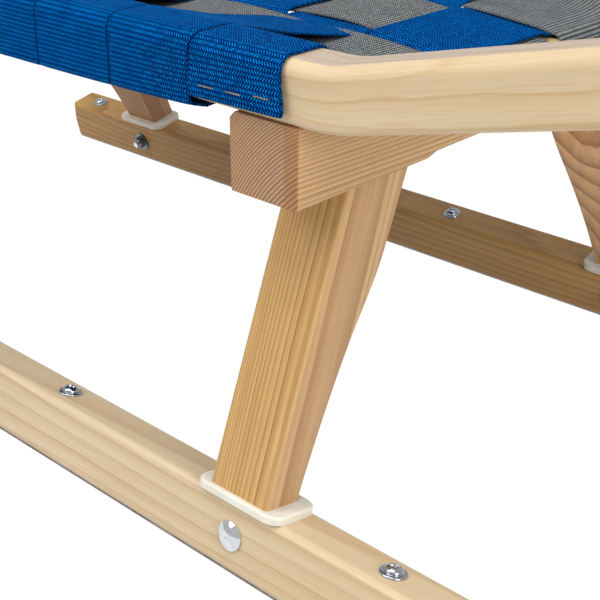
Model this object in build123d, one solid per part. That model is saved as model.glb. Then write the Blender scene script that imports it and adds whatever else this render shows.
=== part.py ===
from build123d import *
import os
from math import sin, cos, tan, radians

os.makedirs("parts", exist_ok=True)

# Two-seater wooden sled, millimetres. X runs forward, Y to the left, Z up.
# While it is built, X = 0 is the middle of the front trestle; at the end
# everything moves so that the origin is the bottom centre of the whole sled.

# ---- driving dimensions ----------------------------------------------------
runner_width = 30.0          # across the runner, square to its side
runner_height = 40.0         # wood only, without the steel
runner_round = 4.0           # rounded long edges
runner_cant = 13.2           # degrees, the tops lean inwards
runner_half_track = 200.2    # centreline of the sled to the middle of a runner
runner_rear = 650.5          # front trestle to the rear end of the runner
runner_rear_slant = 5.0      # how far the upper half of the rear end leans forward
upturn_start = 130.0         # front trestle to the start of the bend
upturn_radius = 280.0        # to the middle of the wood
upturn_angle = 65.0          # degrees turned by the bend
horn_straight = 232.0        # straight wood above the bend
horn_round = 14.0            # rounded corners at the tip

strip_width = 22.0
strip_thickness = 2.5
strip_up_rear = 20.0         # how far the steel climbs the rear end
strip_short_of_tip = 26.0    # bare wood left above the end of the steel

trestle_spacing = 538.0
crossbar_depth = 43.0        # along the sled
crossbar_height = 40.0
crossbar_half_length = 187.5
crossbar_top = 249.0         # above the ground
crossbar_round = 1.2
crossbar_bevel = 3.2         # planed off the upper edge that faces backwards
crossbar_relief = 2.3        # the underside is this much thinner in the middle
relief_start = 79.5          # from the centreline, where the relief is full
relief_run = 7.5             # length of the slope into the relief

leg_depth = 41.0             # along the sled
leg_round = 2.0
leg_top_outside = 148.4      # outer face where it meets the crossbar
leg_foot_outside = 15.6      # outwards from the middle of the runner, at the collar
leg_foot_inside = 9.6        # inwards from there
# The inner face bellies out below the crossbar, and more behind than in front:
# half widths of the sled along the leg's front and rear edges, with their heights.
leg_inside_front = [(102.8, 209.0), (117.9, 173.0), (124.2, 159.0), (141.4, 131.5), (166.5, 86.0)]
leg_inside_rear = [(80.0, 209.0), (100.0, 171.0), (108.4, 158.5), (128.6, 131.5), (161.0, 86.0)]
tenon_depth = 26.0           # along the sled
tenon_thickness = 12.0
tenon_length = 30.0          # below the top of the runner
head_tenon_thickness = 18.0
head_tenon_length = 24.0     # up into the crossbar
joint_clearance = 0.15

collar_length = 60.4
collar_width = 34.6
collar_outwards = 1.2        # its middle from the middle of the runner
collar_thickness = 4.4
collar_corner = 9.0
collar_round = 1.6

rail_width = 32.0
rail_height = 30.5
rail_round = 7.0             # the two upper edges
rail_lower_round = 4.0
rail_overhang = 0.0          # past the end of the crossbar
rail_rear = 600.0            # front trestle to the rear end
rail_bend = 38.0             # front trestle to the bend
rail_bend_radius = 90.0
rail_rise = 13.2             # degrees, forward of the bend
rail_beside_horn = 27.9      # middle of the rail outwards from the middle of the horn, where they cross
rail_past_horn = 26.0        # wood left in front of the horn bolt

band_width = 59.6            # cross bands
band_pitch = 60.6
band_count = 9
band_front = 13.2            # front edge of the front cross band
band_thickness = 1.6
band_gap = 0.3               # air between a band and the wood it wraps
band_end = 3.2               # lower edge of the first and last cross band above the crossbars
band_tuck = 24.0             # how far the others reach back under the rails
band_dip = 19.5              # middle of the seat below the top of the rails
band_over_crossbar = 7.5     # top of the first and last cross band above a crossbar
band_slope = 36.0            # degrees, inwards from the top of the rail
band_sag_radius = 14.0       # where the slope meets the level part
long_width = 70.0            # lengthwise bands
long_pitch = 81.5
long_count = 3
long_middle = -14.5          # the middle one sits this much nearer to the right rail
long_drop = 14.0             # how far a lengthwise band hangs down a crossbar

bolt_diameter = 6.0          # M6 coach bolts
bolt_head_diameter = 16.6
bolt_head_height = 3.9
bolt_rim = 1.2               # straight edge of a head, below its dome
leg_bolt_back = 1.1          # behind the middle of the leg
leg_bolt_up = 0.9            # above the middle of the runner
nut_width = 10.0             # across flats
nut_height = 5.0
washer_diameter = 18.0
washer_thickness = 1.6
bolt_clearance = 0.2         # on the radius
rail_screw_grip = 28.0       # in the crossbar
rail_screw_sunk = 0.6        # its head below the top of the rail
horn_bolt_diameter = 8.0
horn_head_diameter = 20.6
horn_head_height = 4.9
horn_nut_width = 13.0
horn_nut_height = 6.5
horn_washer_diameter = 24.0
horn_bolt_wall = 19.8        # wood of the rail under the head
housing_clearance = 0.5      # each side of the horn in the rail's housing
bolt_tail = 3.0              # thread showing past a nut
pocket_clearance = 0.5

screw_places = [-616.5, -410.0, -159.2, 92.2]   # along the sled, on top of a runner
screw_head_diameter = 10.0
screw_head_height = 3.2
screw_washer_diameter = 14.5
screw_washer_thickness = 1.2
screw_shank_diameter = 5.0
screw_length = 30.0          # in the wood
bore_spare = 1.0             # a blind hole is this much deeper than its screw

# ---- worked out from them --------------------------------------------------
cant = radians(runner_cant)
ground_to_runner = strip_width / 2 * sin(cant) + (runner_height / 2 + strip_thickness) * cos(cant)
crossbar_bottom = crossbar_top - crossbar_height
rail_top = crossbar_top + rail_height
rail_outside = crossbar_half_length + rail_overhang
trestles = {"front": 0.0, "rear": -trestle_spacing}

# The right runner's own plane: x forward, y up the leaning side, z outwards.
runner_plane = Plane(
    origin=(0, -runner_half_track, ground_to_runner),
    x_dir=(1, 0, 0),
    z_dir=(0, -cos(cant), sin(cant)),
)


def on_runner(x, up, out):
    """A point given in the right runner's plane."""
    return runner_plane.from_local_coords(Vector(x, up, out))


def long_edges(part, across):
    """Edges that do not run along the given direction."""
    axis = Vector(across).normalized()
    return [e for e in part.edges() if abs((e % 0.5).dot(axis)) < 0.5]


def bolt(plane, diameter, head_diameter, head_height, shank, tail):
    """Round-headed bolt, its head on the plane's positive side and its shank below."""
    dome_height = head_height - bolt_rim
    radius = (head_diameter ** 2 / 4 + dome_height ** 2) / (2 * dome_height)
    dome = Pos(0, 0, head_height - radius) * Sphere(radius)
    head = dome & Pos(0, 0, head_height / 2) * Cylinder(head_diameter / 2, head_height)
    length = shank + tail
    body = head + Pos(0, 0, -length / 2) * Cylinder(diameter / 2, length)
    return plane * body


def nut_on(plane, width, height, bore):
    """Hexagon nut standing on the plane."""
    flat = RegularPolygon(width / 2, 6, major_radius=False) - Circle(bore / 2)
    return plane * extrude(flat, height)


def washer_on(plane, diameter, thickness, bore):
    """Flat ring standing on the plane."""
    return plane * extrude(Circle(diameter / 2) - Circle(bore / 2), thickness)


def bore(plane, diameter, depth):
    """Round hole through the plane, half of it on each side."""
    return plane * Cylinder(diameter / 2 + bolt_clearance, 2 * depth)


# ---- runner ----------------------------------------------------------------
turn = radians(upturn_angle)
bend_end = (upturn_start + upturn_radius * sin(turn), upturn_radius * (1 - cos(turn)))


def beside_path(offset, along):
    """Point beside the straight horn, a distance along it from the bend."""
    return (
        bend_end[0] + along * cos(turn) - offset * sin(turn),
        bend_end[1] + along * sin(turn) + offset * cos(turn),
    )


def curved_band(lower, upper, rear, tip):
    """Outline that follows the runner's middle line, between two offsets from it."""
    centre = (upturn_start, upturn_radius)
    lines = [
        Line((-rear, lower), (upturn_start, lower)),
        CenterArc(centre, upturn_radius - lower, -90, upturn_angle),
        Line(beside_path(lower, 0), beside_path(lower, tip)),
        Line(beside_path(lower, tip), beside_path(upper, tip)),
        Line(beside_path(upper, tip), beside_path(upper, 0)),
        CenterArc(centre, upturn_radius - upper, -90, upturn_angle),
        Line((upturn_start, upper), (-rear, upper)),
        Line((-rear, upper), (-rear, lower)),
    ]
    return make_face(Wire(lines))


def make_runner():
    half = runner_height / 2
    outline = curved_band(-half, half, runner_rear, horn_straight)
    heel = Polyline(
        (-runner_rear - 1, 0),
        (-runner_rear, 0),
        (-runner_rear + runner_rear_slant, half),
        (-runner_rear + runner_rear_slant, half + 1),
        (-runner_rear - 1, half + 1),
        close=True,
    )
    outline -= make_face(heel)
    tips = outline.vertices().sort_by(Axis.Y)[-2:]
    outline = fillet(tips, horn_round)
    wood = extrude(runner_plane * outline, runner_width / 2, both=True)
    return fillet(long_edges(wood, runner_plane.z_dir), runner_round)


def make_strip():
    half = runner_height / 2
    outline = curved_band(-half - strip_thickness, -half, runner_rear, horn_straight - strip_short_of_tip)
    heel = Pos(-runner_rear - strip_thickness / 2, -half - strip_thickness + (strip_up_rear + strip_thickness) / 2)
    outline += heel * Rectangle(strip_thickness, strip_up_rear + strip_thickness)
    return extrude(runner_plane * outline, strip_width / 2, both=True)


def screw_seat(x):
    """On top of the runner at x, facing up the leaning side."""
    return Plane(origin=on_runner(x, runner_height / 2, 0), x_dir=(1, 0, 0), z_dir=runner_plane.y_dir)


# ---- trestles --------------------------------------------------------------
collar_top = runner_height / 2 + collar_thickness
foot_middle = (leg_foot_outside - leg_foot_inside) / 2
head_tenon_middle = (leg_top_outside + leg_inside_front[0][0]) / 2


def foot_plane(x):
    """On top of the collar at x, under the middle of the foot: local y inwards, z up the leaning side."""
    return Plane(
        origin=on_runner(x, collar_top, foot_middle),
        x_dir=(1, 0, 0),
        z_dir=runner_plane.y_dir,
    )


def leg_side(x, inside):
    """Outline of a leg seen from the front, in the plane across the sled at x."""
    foot_out = on_runner(x, collar_top, leg_foot_outside)
    foot_in = on_runner(x, collar_top, -leg_foot_inside)
    belly = [(x, -y, z) for y, z in inside] + [foot_in]
    inner = Spline(*belly[1:])
    lines = [
        Line((x, -leg_top_outside, crossbar_bottom), belly[0]),
        Line(belly[0], belly[1]),
        inner,
        Line(foot_in, foot_out),
        Line(foot_out, (x, -leg_top_outside, crossbar_bottom)),
    ]
    return make_face(Wire(lines))


def make_leg(x):
    front = leg_side(x + leg_depth / 2, leg_inside_front)
    rear = leg_side(x - leg_depth / 2, leg_inside_rear)
    leg = loft([rear, front], ruled=True)
    upright = [e for e in leg.edges() if abs((e % 0.5).X) < 0.5 and abs((e % 0.5).Z) > 0.5]
    leg = fillet(upright, leg_round)
    foot = foot_plane(x) * Box(
        tenon_depth, tenon_thickness, tenon_length + collar_thickness,
        align=(Align.CENTER, Align.CENTER, Align.MAX),
    )
    head = Pos(x, -head_tenon_middle, crossbar_bottom) * Box(
        tenon_depth, head_tenon_thickness, head_tenon_length,
        align=(Align.CENTER, Align.CENTER, Align.MIN),
    )
    return leg + foot + head - bore(leg_bolt_plane(x), bolt_diameter, runner_width)


def leg_bolt_plane(x):
    """On the runner's outer face at x, facing outwards."""
    return Plane(
        origin=on_runner(x - leg_bolt_back, leg_bolt_up, runner_width / 2),
        x_dir=(1, 0, 0),
        z_dir=runner_plane.z_dir,
    )


def leg_nut_plane(x):
    """On the runner's inner face at x, facing inwards."""
    return Plane(
        origin=on_runner(x - leg_bolt_back, leg_bolt_up, -runner_width / 2),
        x_dir=(1, 0, 0),
        z_dir=-runner_plane.z_dir,
    )


def foot_mortise(x):
    return foot_plane(x) * Box(
        tenon_depth + 2 * joint_clearance,
        tenon_thickness + 2 * joint_clearance,
        tenon_length + collar_thickness + joint_clearance,
        align=(Align.CENTER, Align.CENTER, Align.MAX),
    )


def make_collar(x):
    plate = extrude(RectangleRounded(collar_length, collar_width, collar_corner), -collar_thickness)
    plate = fillet(plate.faces().sort_by(Axis.Z)[-1].edges(), collar_round)
    return foot_plane(x) * Pos(0, foot_middle - collar_outwards, 0) * plate - foot_mortise(x)


def make_crossbar(x):
    middle = crossbar_bottom + crossbar_relief
    underside = [(relief_start, middle), (relief_start + relief_run, crossbar_bottom)]
    right = [(-y, z) for y, z in underside]
    outline = Polyline(
        (-crossbar_half_length, crossbar_top),
        (-crossbar_half_length, crossbar_bottom),
        *reversed(right),
        *underside,
        (crossbar_half_length, crossbar_bottom),
        (crossbar_half_length, crossbar_top),
        close=True,
    )
    bar = extrude(Plane.YZ.offset(x) * make_face(outline), crossbar_depth / 2, both=True)
    lengthwise = [e for e in bar.edges() if abs((e % 0.5).Y) > 0.9]
    upper_rear = [e for e in lengthwise if e.center().X < x and e.center().Z > crossbar_top - crossbar_round]
    bar = fillet([e for e in lengthwise if e not in upper_rear], crossbar_round)
    upper_rear = bar.edges().filter_by(Axis.Y).group_by(Axis.X)[0].sort_by(Axis.Z)[-1]
    bar = chamfer(upper_rear, crossbar_bevel)
    for side in (-1, 1):
        bar -= Pos(x, side * head_tenon_middle, crossbar_bottom) * Box(
            tenon_depth + 2 * joint_clearance,
            head_tenon_thickness + 2 * joint_clearance,
            head_tenon_length + joint_clearance,
            align=(Align.CENTER, Align.CENTER, Align.MIN),
        )
        bar -= bore(Plane((x, side * rail_middle, crossbar_top)), bolt_diameter, rail_screw_grip + bore_spare)
    return bar


# ---- seat rail -------------------------------------------------------------
rail_middle = rail_outside - rail_width / 2
rail_level = crossbar_top + rail_height / 2
sunk_head = bolt_head_height + rail_screw_sunk      # the heads lie under the webbing
horn_bolt_seat = runner_width / 2 + horn_bolt_wall
horn_way = Vector(cos(turn), sin(turn) * sin(cant), sin(turn) * cos(cant))
rail_corner = Vector(rail_bend, -rail_middle, rail_level)
rail_slope = tan(radians(rail_rise))


def crossing():
    """Seen from the side: how far up the straight horn the rail crosses it, and how far ahead of the bend."""
    gap = on_runner(bend_end[0], bend_end[1], 0) - rail_corner
    up_horn = (gap.Z - gap.X * rail_slope) / (horn_way.X * rail_slope - horn_way.Z)
    return up_horn, gap.X + up_horn * horn_way.X


up_horn, ahead = crossing()
horn_bolt_at = beside_path(0, up_horn)
# Forward of the bend the rail closes in, so that it passes just outside the horn.
rail_toe = (on_runner(horn_bolt_at[0], horn_bolt_at[1], 0).Y - rail_beside_horn + rail_middle) / ahead
rail_way = Vector(1, rail_toe, rail_slope)


def horn_plane(out):
    """Square to the horn bolt, a distance outwards from the middle of the runner."""
    return Plane(
        origin=on_runner(horn_bolt_at[0], horn_bolt_at[1], out),
        x_dir=(1, 0, 0),
        z_dir=runner_plane.z_dir,
    )


def make_rail():
    tip = rail_corner + rail_way * (ahead + rail_past_horn)
    path = FilletPolyline((-rail_rear, -rail_middle, rail_level), rail_corner, tip, radius=rail_bend_radius)
    start = Plane(origin=(-rail_rear, -rail_middle, rail_level), x_dir=(0, 1, 0), z_dir=(1, 0, 0))
    section = Rectangle(rail_width, rail_height)
    section = fillet(section.vertices().group_by(Axis.Y)[-1], rail_round)
    section = fillet(section.vertices().group_by(Axis.Y)[0], rail_lower_round)
    rail = sweep(start * section, path=path)
    # Housing: the rail is pared away where the horn leans into it.
    housing = Plane(
        origin=on_runner(horn_bolt_at[0], horn_bolt_at[1], runner_width / 2),
        x_dir=horn_way,
        z_dir=-runner_plane.z_dir,
    )
    behind = runner_height / 2 + housing_clearance
    rail -= housing * Pos(0, -behind, 0) * Box(
        4 * runner_height, 3 * runner_height, runner_width, align=(Align.CENTER, Align.MIN, Align.MIN)
    )
    for x in trestles.values():
        rail -= bore(rail_screw_plane(x), bolt_diameter, rail_height)
        rail -= rail_screw_plane(x) * Pos(0, 0, sunk_head) * Cylinder(bolt_head_diameter / 2 + pocket_clearance, 2 * sunk_head)
    pocket = horn_plane(horn_bolt_seat) * Cylinder(
        horn_head_diameter / 2 + pocket_clearance, rail_width, align=(Align.CENTER, Align.CENTER, Align.MIN)
    )
    return rail - pocket - bore(horn_plane(0), horn_bolt_diameter, 2 * rail_width)


def rail_screw_plane(x):
    """Seat of a rail screw's head, sunk in the rail above a crossbar."""
    return Plane((x, -rail_middle, rail_top - sunk_head))


# ---- webbing ---------------------------------------------------------------
def band_path_level(index):
    """Height of the middle of a cross band's level part."""
    if index in (0, band_count - 1):
        return crossbar_top + band_over_crossbar - band_thickness / 2
    return rail_top - band_dip - band_thickness / 2


def make_cross_band(index):
    over = band_gap + band_thickness / 2
    around = rail_round + over
    below = rail_lower_round + over
    outside = rail_outside + over
    level = band_path_level(index)
    top = rail_top + over
    slope = radians(band_slope)
    lip = rail_outside - rail_width + rail_round - around * tan(slope / 2)
    foot = lip - (top - level) / tan(slope)
    if index in (0, band_count - 1):
        ends = [(outside, crossbar_top + band_end)]
        radii = [around, around, band_sag_radius]
    else:
        ends = [(outside - band_tuck, crossbar_top - over), (outside, crossbar_top - over)]
        radii = [below, around, around, band_sag_radius]
    half = ends + [(outside, top), (lip, top), (foot, level)]
    points = [(-y, z) for y, z in half] + list(reversed(half))
    path = FilletPolyline(*points, radius=radii + list(reversed(radii)))
    front = band_front - index * band_pitch
    return extrude(Plane.YZ.offset(front) * trace(path, band_thickness), -band_width)


def make_long_band(place):
    over = band_gap + band_thickness / 2
    front = crossbar_depth / 2 + over
    rear = -trestle_spacing - crossbar_depth / 2 - over
    on_bar = crossbar_top + over
    under = band_path_level(1) - band_thickness - band_gap
    middles = [band_front - band_width / 2 - index * band_pitch for index in range(band_count)]
    points = [
        (front, crossbar_top - long_drop),
        (front, on_bar),
        (middles[0], on_bar),
        (middles[1], under),
        (middles[-2], under),
        (middles[-1], on_bar),
        (rear, on_bar),
        (rear, crossbar_top - long_drop),
    ]
    path = FilletPolyline(*points, radius=crossbar_round + over)
    return extrude(Plane.XZ.offset(-place) * trace(path, band_thickness), long_width / 2, both=True)


nodes = {}


def both_sides(name, part):
    nodes[name + "_right"] = part
    nodes[name + "_left"] = mirror(part, about=Plane.XZ)


runner = make_runner()
for place in trestles.values():
    runner -= foot_mortise(place)
    runner -= bore(leg_bolt_plane(place), bolt_diameter, runner_width * 2)
for place in screw_places:
    runner -= bore(screw_seat(place), screw_shank_diameter, screw_length + bore_spare)
runner -= bore(horn_plane(0), horn_bolt_diameter, runner_width)
both_sides("runner", runner)
both_sides("runner_strip", make_strip())
for end, place in trestles.items():
    nodes["crossbar_" + end] = make_crossbar(place)
    both_sides("leg_" + end, make_leg(place))
    both_sides("collar_" + end, make_collar(place))
both_sides("seat_rail", make_rail())

for index in range(band_count):
    nodes[f"cross_band_{index + 1}"] = make_cross_band(index)
for index in range(long_count):
    place = long_middle + (index - (long_count - 1) / 2) * long_pitch
    nodes[f"long_band_{index + 1}"] = make_long_band(place)


def side_by_side(pieces):
    """Several pieces as the separate solids of one node."""
    return Compound([solid for piece in pieces for solid in piece.solids()])


def four_of(make):
    """One piece at each trestle on each side, as separate solids of one node."""
    right = [make(x) for x in trestles.values()]
    return side_by_side(right + [mirror(piece, about=Plane.XZ) for piece in right])


def leg_bolt(x):
    return bolt(leg_bolt_plane(x), bolt_diameter, bolt_head_diameter, bolt_head_height,
                runner_width + washer_thickness + nut_height, bolt_tail)


def leg_nut(x):
    seat = leg_nut_plane(x)
    ring = washer_on(seat, washer_diameter, washer_thickness, bolt_diameter + bolt_clearance)
    above = seat.offset(washer_thickness)
    return ring + nut_on(above, nut_width, nut_height, bolt_diameter + bolt_clearance)


def rail_screw(x):
    """Screw from the rail into a crossbar, with the same head as a coach bolt."""
    through = rail_height - sunk_head + rail_screw_grip
    return bolt(rail_screw_plane(x), bolt_diameter, bolt_head_diameter, bolt_head_height, through, 0)


def horn_bolt():
    through = horn_bolt_seat + runner_width / 2 + washer_thickness + horn_nut_height
    return bolt(horn_plane(horn_bolt_seat), horn_bolt_diameter, horn_head_diameter, horn_head_height,
                through, bolt_tail)


def horn_nut():
    seat = Plane(origin=horn_plane(-runner_width / 2).origin, x_dir=(1, 0, 0), z_dir=-runner_plane.z_dir)
    inner = horn_bolt_diameter + bolt_clearance
    ring = washer_on(seat, horn_washer_diameter, washer_thickness, inner)
    return ring + nut_on(seat.offset(washer_thickness), horn_nut_width, horn_nut_height, inner)


def runner_screw(x):
    seat = screw_seat(x)
    ring = seat * extrude(Circle(screw_washer_diameter / 2), screw_washer_thickness)
    head = bolt(seat.offset(screw_washer_thickness), screw_shank_diameter, screw_head_diameter,
                screw_head_height, screw_washer_thickness, screw_length)
    return ring + head


nodes["leg_bolts"] = four_of(leg_bolt)
nodes["leg_nuts"] = four_of(leg_nut)
nodes["rail_screws"] = four_of(rail_screw)
nodes["horn_bolts"] = side_by_side([horn_bolt(), mirror(horn_bolt(), about=Plane.XZ)])
nodes["horn_nuts"] = side_by_side([horn_nut(), mirror(horn_nut(), about=Plane.XZ)])
for side in ("right", "left"):
    screws = [runner_screw(x) for x in screw_places]
    if side == "left":
        screws = [mirror(screw, about=Plane.XZ) for screw in screws]
    nodes["runner_screws_" + side] = side_by_side(screws)

# The origin goes to the bottom centre of everything.
boxes = [part.bounding_box() for part in nodes.values()]
front_most = max(box.max.X for box in boxes)
rear_most = min(box.min.X for box in boxes)
lowest = min(box.min.Z for box in boxes)
to_origin = Pos(-(front_most + rear_most) / 2, 0, -lowest)

for name, part in nodes.items():
    export_step(to_origin * part, f"parts/{name}.step")
print("length", round(front_most - rear_most, 1), "front trestle at", round(to_origin.position.X, 2))
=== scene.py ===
from math import radians, sin, cos, tan, pi, atan2

import bpy
import numpy as np
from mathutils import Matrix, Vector


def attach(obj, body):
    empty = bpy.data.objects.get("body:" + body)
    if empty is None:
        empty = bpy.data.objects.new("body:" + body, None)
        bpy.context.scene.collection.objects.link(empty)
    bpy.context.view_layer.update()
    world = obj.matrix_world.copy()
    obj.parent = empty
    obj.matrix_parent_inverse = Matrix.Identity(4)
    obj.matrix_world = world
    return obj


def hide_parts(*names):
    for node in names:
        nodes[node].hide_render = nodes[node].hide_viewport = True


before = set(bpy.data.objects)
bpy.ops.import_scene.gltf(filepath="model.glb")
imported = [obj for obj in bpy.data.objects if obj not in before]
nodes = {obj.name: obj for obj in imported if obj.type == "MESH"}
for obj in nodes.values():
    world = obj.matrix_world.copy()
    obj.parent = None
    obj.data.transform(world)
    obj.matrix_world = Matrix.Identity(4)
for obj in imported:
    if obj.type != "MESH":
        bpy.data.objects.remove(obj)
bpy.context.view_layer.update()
scene = bpy.context.scene
print("sled frame loaded:", len(nodes), "solids")

# Sizes are in millimetres and become metres when a mesh is made.
mm = 0.001
trestleX, trestleSpacing = 75.43, 538.0      # the front trestle, and how far back the rear one stands
trestles = (("front", trestleX), ("rear", trestleX - trestleSpacing))
sides = (("right", 1), ("left", -1))


# ---- shader trees ----
def isSocket(value):
    return isinstance(value, bpy.types.NodeSocket)


def fill(node, inputs):
    # a number or colour is written on the input, a socket is linked to it
    for label, value in inputs.items():
        if isSocket(value):
            node.id_data.links.new(value, node.inputs[label])
        else:
            node.inputs[label].default_value = value


def put(tree, kind, inputs=None, **settings):
    # a node with its settings, and its inputs by label or number
    node = tree.nodes.new(kind)
    for name, value in settings.items():
        setattr(node, name, value)
    fill(node, inputs or {})
    return node


def treeOf(values):
    # the tree of the first value that is a socket
    return next(value.id_data for value in values if isSocket(value))


def calc(operation, *values, clamp=False):
    inputs = dict(enumerate(values))
    return put(treeOf(values), "ShaderNodeMath", inputs, operation=operation, use_clamp=clamp).outputs[0]


def maths(operation):
    return lambda a, b: calc(operation, a, b)


plus, minus, times, over = map(maths, ("ADD", "SUBTRACT", "MULTIPLY", "DIVIDE"))


def remap(value, low, high, toLow=0.0, toHigh=1.0, smooth=True):
    inputs = {"Value": value, "From Min": low, "From Max": high, "To Min": toLow, "To Max": toHigh}
    kind = "SMOOTHSTEP" if smooth else "LINEAR"
    return put(value.id_data, "ShaderNodeMapRange", inputs, interpolation_type=kind).outputs["Result"]


def blend(share, a, b, mode="MIX"):
    # two colours; a colour without its fourth value gets a 1 there
    a, b = (value + (1,) if isinstance(value, tuple) else value for value in (a, b))
    inputs = {0: share, 6: a, 7: b}
    return put(share.id_data, "ShaderNodeMix", inputs, data_type="RGBA", blend_type=mode).outputs[2]


def scaleColour(colour, amount):
    inputs = {0: colour, "Scale": amount}
    return put(colour.id_data, "ShaderNodeVectorMath", inputs, operation="SCALE").outputs[0]


def noise(place, scale, detail, rough, stretch=None, result="Fac"):
    # a small number in stretch draws the pattern out along that axis
    tree = place.id_data
    if stretch is not None:
        place = put(tree, "ShaderNodeVectorMath", {0: place, 1: stretch}, operation="MULTIPLY").outputs[0]
    inputs = {"Vector": place, "Scale": scale, "Detail": detail, "Roughness": rough}
    return put(tree, "ShaderNodeTexNoise", inputs).outputs[result]


def anyValue(number, label="W", size="1D"):
    # another value from 0 to 1 for each whole number, or for each pair
    node = put(number.id_data, "ShaderNodeTexWhiteNoise", {label: number}, noise_dimensions=size)
    return node.outputs["Value"]


def newGroup(name, ins, outs):
    # the group, its inputs and its outputs; Place is a vector and all else a number
    group = bpy.data.node_groups.new(name, "ShaderNodeTree")
    for labels, way in ((ins, "INPUT"), (outs, "OUTPUT")):
        for label in labels.split():
            kind = "NodeSocketVector" if label == "Place" else "NodeSocketFloat"
            group.interface.new_socket(label, in_out=way, socket_type=kind)
    return group, group.nodes.new("NodeGroupInput").outputs, group.nodes.new("NodeGroupOutput")


def useGroup(group, **values):
    return put(treeOf(values.values()), "ShaderNodeGroup", values, node_tree=group).outputs


def splitVector(vector):
    return put(vector.id_data, "ShaderNodeSeparateXYZ", {0: vector}).outputs


def joinVector(x, y, z):
    return put(x.id_data, "ShaderNodeCombineXYZ", {0: x, 1: y, 2: z}).outputs[0]


def newMaterial(name):
    material = bpy.data.materials.new(name)
    material.use_nodes = True
    return material, material.node_tree, material.node_tree.nodes["Principled BSDF"]


def objectPlace(tree):
    return put(tree, "ShaderNodeTexCoord").outputs["Object"]


def addBump(shader, height, strength, distance):
    inputs = {"Strength": strength, "Distance": distance, "Height": height}
    bump = put(shader.id_data, "ShaderNodeBump", inputs)
    fill(shader, {"Normal": bump.outputs["Normal"]})


# ---- meshes ----
def smooth(t):
    t = np.clip(t, 0.0, 1.0)
    return t * t * (3 - 2 * t)


def unit(vectors):
    return vectors / np.maximum(np.linalg.norm(vectors, axis=-1, keepdims=True), 1e-12)


def columns(*parts):
    return np.stack(np.broadcast_arrays(*parts), axis=-1)


def tubeFaces(rows, count):
    # quads between rows of points that each run round in a closed ring
    i, j = np.meshgrid(np.arange(rows - 1), np.arange(count), indexing="ij")
    a, b = i * count + j, i * count + (j + 1) % count
    return columns(a, a + count, b + count, b).reshape(-1, 4)


def closedTube(places):
    # rows x count x 3 points become a tube with a flat face over each end
    rows, count = places.shape[:2]
    ends = [list(range(count)), list(range((rows - 1) * count, rows * count))[::-1]]
    return places.reshape(-1, 3), tubeFaces(rows, count).tolist() + ends


def newObject(name, data):
    thing = bpy.data.objects.new(name, data)
    scene.collection.objects.link(thing)
    return thing


def newPiece(name, verts, faces):
    # a smooth-shaded piece from points in millimetres
    mesh = bpy.data.meshes.new(name)
    mesh.from_pydata((np.asarray(verts) * mm).tolist(), [], faces)
    mesh.polygons.foreach_set("use_smooth", np.ones(len(mesh.polygons), bool))
    mesh.update()
    return newObject(name, mesh)


def joinShapes(name, shapes):
    # one piece of several shapes, each its points and its faces
    verts, faces, first = [], [], 0
    for points, polys in shapes:
        verts.append(points)
        faces += [[first + i for i in f] for f in polys]
        first += len(points)
    return newPiece(name, np.concatenate(verts), faces)


# ---- camera, floor and light ----
view = {
    "place": (0.44597, -0.56373, 0.41781),
    "azimuth": 42.69,      # degrees from the sled's right side round to its front
    "elevation": 26.3,
    "lens": 71.87,
    "near": 0.02,
}
studio = {
    "floorHalf": 6.0,
    "floorGrey": 0.62,        # what the floor throws back at the sled
    "floorWhite": 0.96,
    "floorShadow": 0.07,      # how much of a shadow the eye sees on it
    "floorGlow": 1.06,
    "ambient": 0.45,
    "inMetal": 0.55,          # how much of the white room polished metal shows
    # name, place, aim, size, watts, colour
    "lamps": [
        ("keyLamp", (-1.1, -1.75, 1.85), (-0.05, -0.1, 0.15), 1.5, 22.5, (1.0, 0.99, 0.97)),
        ("frontLamp", (2.5, -0.6, 1.0), (0.0, 0.0, 0.15), 1.5, 42.0, (1.0, 0.99, 0.98)),
        ("topLamp", (0.1, -0.5, 2.6), (0.0, 0.0, 0.1), 2.2, 46.0, (0.99, 0.99, 0.99)),
    ],
}


def facing(direction):
    return direction.to_track_quat("Z", "Y").to_euler()


def addCamera():
    data = bpy.data.cameras.new("camera")
    data.lens = view["lens"]
    data.sensor_width = 36
    data.clip_start = view["near"]
    camera = newObject("camera", data)
    a, e = radians(view["azimuth"]), radians(view["elevation"])
    camera.location = view["place"]
    camera.rotation_euler = facing(Vector((sin(a) * cos(e), -cos(a) * cos(e), sin(e))))
    scene.camera = camera


def addFloor():
    # the eye sees a white floor with a faint shadow, and the sled gets a plain grey one's light
    half = studio["floorHalf"]
    mesh = bpy.data.meshes.new("floor")
    corners = [(-half, -half, 0), (half, -half, 0), (half, half, 0), (-half, half, 0)]
    mesh.from_pydata(corners, [], [(0, 1, 2, 3)])
    newObject("floor", mesh)
    material, tree, shader = newMaterial("studioFloor")
    tree.nodes.clear()
    path = put(tree, "ShaderNodeLightPath").outputs
    eye = calc("MAXIMUM", path["Is Camera Ray"], path["Is Glossy Ray"])
    eye = calc("MAXIMUM", eye, path["Is Transmission Ray"])
    plain = put(tree, "ShaderNodeBsdfDiffuse", {"Color": (studio["floorGrey"],) * 3 + (1,)})
    lit = put(tree, "ShaderNodeBsdfDiffuse", {"Color": (studio["floorWhite"],) * 3 + (1,)})
    glow = put(tree, "ShaderNodeEmission", {"Strength": studio["floorGlow"]})
    seen = put(tree, "ShaderNodeMixShader", {0: studio["floorShadow"], 1: glow.outputs[0], 2: lit.outputs[0]})
    pick = put(tree, "ShaderNodeMixShader", {0: eye, 1: plain.outputs[0], 2: seen.outputs[0]})
    put(tree, "ShaderNodeOutputMaterial", {"Surface": pick.outputs[0]})
    mesh.materials.append(material)


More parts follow.
